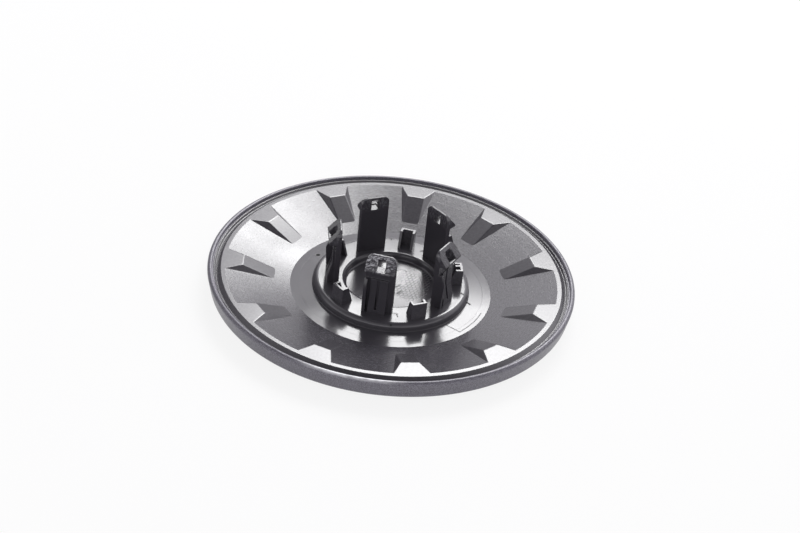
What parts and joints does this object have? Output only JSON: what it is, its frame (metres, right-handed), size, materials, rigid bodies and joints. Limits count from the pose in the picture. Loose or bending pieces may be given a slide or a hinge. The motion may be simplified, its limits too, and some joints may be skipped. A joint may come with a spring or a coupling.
{
  "type": "wheel centre cap",
  "caption": "Round snap-in wheel centre cap, a dished one-piece disc with raised tongues, a rolled rim, tall clip legs and short guide posts on its back.",
  "frame": {"origin": "on the axis of the cap, at the flat middle of its front face, which is its lowest point", "axes": "+Z along the axis, from the front face towards the clip legs; +X to the right and +Y away in the picture"},
  "size_m": [0.1618, 0.1618, 0.0346],
  "materials": {
    "black_plastic": "satin black moulded plastic, turned marks on the band",
    "grey_paint": "satin metallic grey paint on the front and the outer wall of the rim"
  },
  "bodies": {
    "root": {"centre_cap": "black_plastic"}
  },
  "joints": []
}
